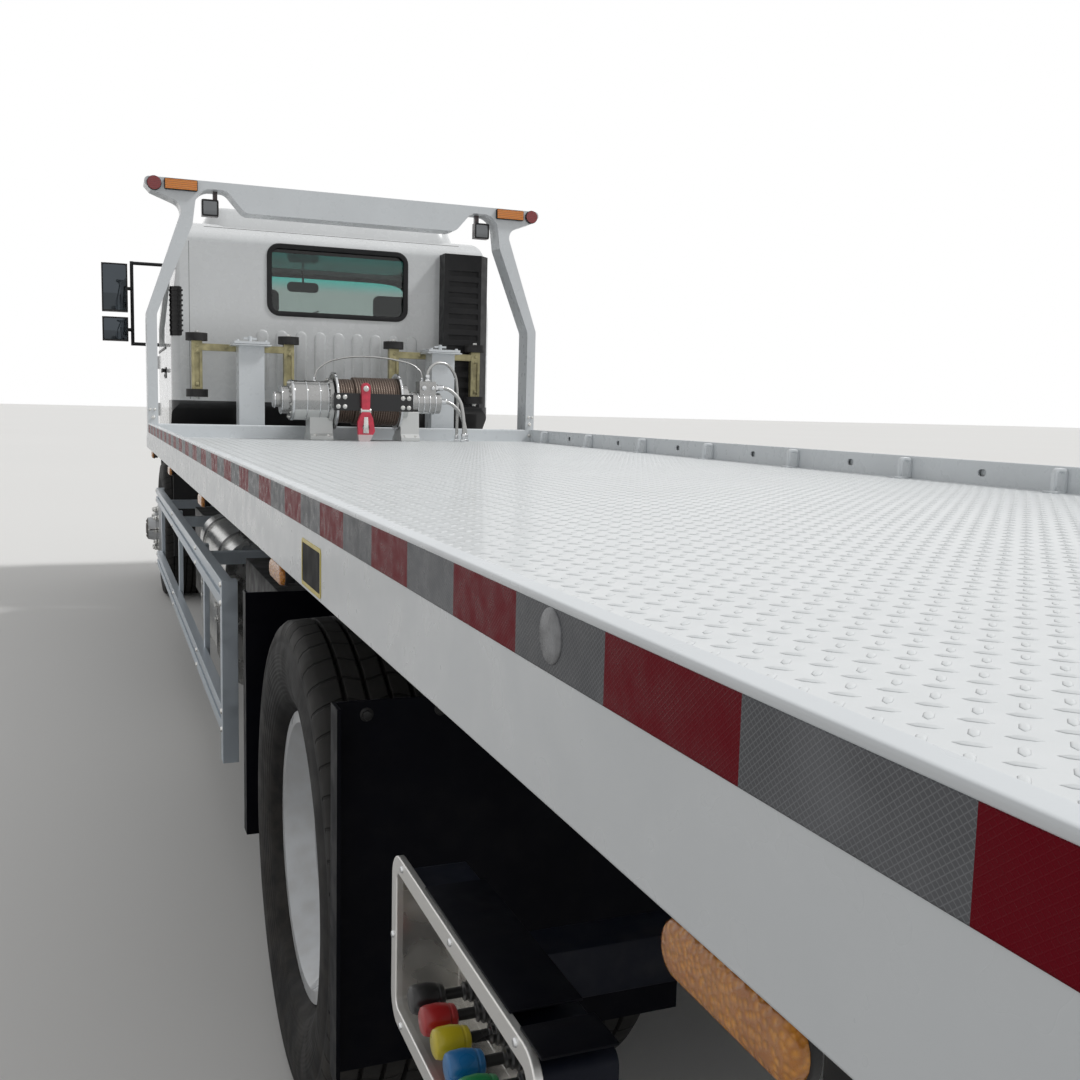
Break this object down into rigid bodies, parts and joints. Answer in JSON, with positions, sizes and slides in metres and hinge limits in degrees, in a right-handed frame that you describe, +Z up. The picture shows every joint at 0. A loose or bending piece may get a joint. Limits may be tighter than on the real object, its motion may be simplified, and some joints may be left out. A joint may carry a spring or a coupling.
{
  "type": "flatbed tow truck",
  "caption": "Flatbed tow truck: white tilt-and-slide deck with curbs, a winch and headboard, tilting cab, side guards, twin rear wheels and a folded underlift.",
  "frame": {"origin": "on the ground below the middle of the overall box", "axes": "+Z up, +Y to the rear along the truck's length, +X to the driver's left side; the cab faces -Y"},
  "size_m": [2.74, 8.693, 2.473],
  "materials": {
    "chassis_black": "satin",
    "engine_grey": "rough",
    "cast_steel": "rough",
    "tyre": "matt",
    "rim_silver": "satin",
    "tank_aluminium": "brushed",
    "black_plastic": "grained",
    "guard_grey": "anodised",
    "mud_rubber": "satin",
    "control_steel": "bright",
    "cab_white": "gloss",
    "lamp_clear": "clear lens",
    "white_paint": "semi-gloss",
    "deck_white": "gloss, tread plate",
    "ram_chrome": "hard chrome",
    "lamp_amber": "lens",
    "lamp_red": "lens",
    "winch_steel": "cast and machined",
    "wire_rope": "greased wire",
    "hose_silver": "braided",
    "hook_red": "painted",
    "gold_plate": "yellow passivated",
    "black_rubber": "matt",
    "glass": "tinted",
    "seat_fabric": "woven"
  },
  "bodies": {
    "chassis": {"chassis_frame": "chassis_black", "engine_block": "engine_grey", "front_axle": "chassis_black", "rear_axle": "chassis_black", "fuel_tank": "tank_aluminium", "chassis_boxes": "black_plastic", "side_guards": "guard_grey", "mudguards": "mud_rubber", "control_box": "control_steel", "control_levers": "black_plastic", "front_bumper": "cab_white", "chassis_lamps": "lamp_clear", "front_fenders": "black_plastic"},
    "cab": {"cab_shell": "cab_white", "cab_glass": "glass", "cab_front": "black_plastic", "seats": "seat_fabric", "dashboard": "black_plastic", "air_intake": "black_plastic", "mirrors": "black_plastic"},
    "door_left": {"door_left": "cab_white", "door_glass_left": "glass"},
    "door_right": {"door_right": "cab_white", "door_glass_right": "glass"},
    "tilt_frame": {"tilt_frame": "white_paint"},
    "lift_barrels": {"lift_barrels": "chassis_black"},
    "lift_rods": {"lift_rods": "ram_chrome"},
    "deck": {"slide_rod": "ram_chrome", "deck_frame": "white_paint", "deck_plate": "deck_white", "deck_edge_plate": "deck_white", "side_rails": "white_paint", "front_sill": "white_paint", "lashing_rings": "white_paint", "side_markers": "lamp_amber", "headboard": "white_paint", "headboard_lamps": "lamp_red", "winch_frame": "winch_steel", "winch_hoses": "hose_silver", "tow_hook": "hook_red", "dolly_posts": "white_paint", "dolly_frames": "gold_plate", "dolly_wheels": "black_rubber"},
    "winch_drum": {"winch_drum": "winch_steel", "winch_rope": "wire_rope"},
    "knuckle_left": {"knuckle_left": "cast_steel"},
    "knuckle_right": {"knuckle_right": "cast_steel"},
    "wheel_front_left": {"tyre_front_left": "tyre", "rim_front_left": "rim_silver"},
    "wheel_front_right": {"tyre_front_right": "tyre", "rim_front_right": "rim_silver"},
    "wheel_rear_left": {"tyre_rear_left": "tyre", "rim_rear_left": "rim_silver"},
    "wheel_rear_right": {"tyre_rear_right": "tyre", "rim_rear_right": "rim_silver"},
    "underlift_arm": {"underlift_arm": "chassis_black"},
    "underlift_extension": {"underlift_extension": "chassis_black"},
    "underlift_crossbar": {"underlift_crossbar": "chassis_black"}
  },
  "joints": [
    {"name": "cab_tilt", "type": "hinge", "parent": "chassis", "child": "cab", "pos_m": [0, -4.0615, 0.62], "axis": [1, 0, 0], "range_deg": [0, 45]},
    {"name": "door_left_swing", "type": "hinge", "parent": "cab", "child": "door_left", "pos_m": [1, -4.1035, 1.3], "axis": [0, 0, -1], "range_deg": [0, 70]},
    {"name": "door_right_swing", "type": "hinge", "parent": "cab", "child": "door_right", "pos_m": [-1, -4.1035, 1.3], "axis": [0, 0, 1], "range_deg": [0, 70]},
    {"name": "deck_tilt", "type": "hinge", "parent": "chassis", "child": "tilt_frame", "pos_m": [0, 3.5635, 0.838], "axis": [-1, 0, 0], "range_deg": [0, 12.6]},
    {"name": "lift_barrel_swing", "type": "hinge", "parent": "chassis", "child": "lift_barrels", "pos_m": [0, 1.1635, 0.56], "axis": [1, 0, 0], "range_deg": [0, 20.38]},
    {"name": "lift_rod_slide", "type": "slide", "parent": "lift_barrels", "child": "lift_rods", "axis": [0, 0.9756, 0.2195], "range_m": [0, 0.1552]},
    {"name": "deck_slide", "type": "slide", "parent": "tilt_frame", "child": "deck", "axis": [0, 1, 0], "range_m": [0, 3.8]},
    {"name": "winch_spin", "type": "hinge", "parent": "deck", "child": "winch_drum", "pos_m": [0, -2.0535, 1.278], "axis": [1, 0, 0], "continuous": true},
    {"name": "steer_left", "type": "hinge", "parent": "chassis", "child": "knuckle_left", "pos_m": [0.77, -3.2365, 0.433], "axis": [0, 0, 1], "range_deg": [-35, 35]},
    {"name": "steer_right", "type": "hinge", "parent": "chassis", "child": "knuckle_right", "pos_m": [-0.77, -3.2365, 0.433], "axis": [0, 0, 1], "range_deg": [-35, 35]},
    {"name": "wheel_front_left_roll", "type": "hinge", "parent": "knuckle_left", "child": "wheel_front_left", "pos_m": [0.915, -3.2365, 0.433], "axis": [1, 0, 0], "continuous": true},
    {"name": "wheel_front_right_roll", "type": "hinge", "parent": "knuckle_right", "child": "wheel_front_right", "pos_m": [-0.915, -3.2365, 0.433], "axis": [1, 0, 0], "continuous": true},
    {"name": "wheel_rear_left_roll", "type": "hinge", "parent": "chassis", "child": "wheel_rear_left", "pos_m": [0.8445, 2.4135, 0.433], "axis": [1, 0, 0], "continuous": true},
    {"name": "wheel_rear_right_roll", "type": "hinge", "parent": "chassis", "child": "wheel_rear_right", "pos_m": [-0.8445, 2.4135, 0.433], "axis": [1, 0, 0], "continuous": true},
    {"name": "underlift_lower", "type": "hinge", "parent": "chassis", "child": "underlift_arm", "pos_m": [0, 3.5035, 0.47], "axis": [-1, 0, 0], "range_deg": [0, 12]},
    {"name": "underlift_extend", "type": "slide", "parent": "underlift_arm", "child": "underlift_extension", "axis": [0, 1, 0], "range_m": [0, 0.5]},
    {"name": "crossbar_swivel", "type": "hinge", "parent": "underlift_extension", "child": "underlift_crossbar", "pos_m": [0, 4.2135, 0.575], "axis": [0, 0, 1], "range_deg": [-30, 30]}
  ],
  "couplings": [
    {"joint": "lift_barrel_swing", "follows": "deck_tilt", "ratio": 1.6155},
    {"joint": "lift_rod_slide", "follows": "deck_tilt", "m_per_rad": 0.7036},
    {"joint": "steer_right", "follows": "steer_left", "ratio": 1}
  ]
}
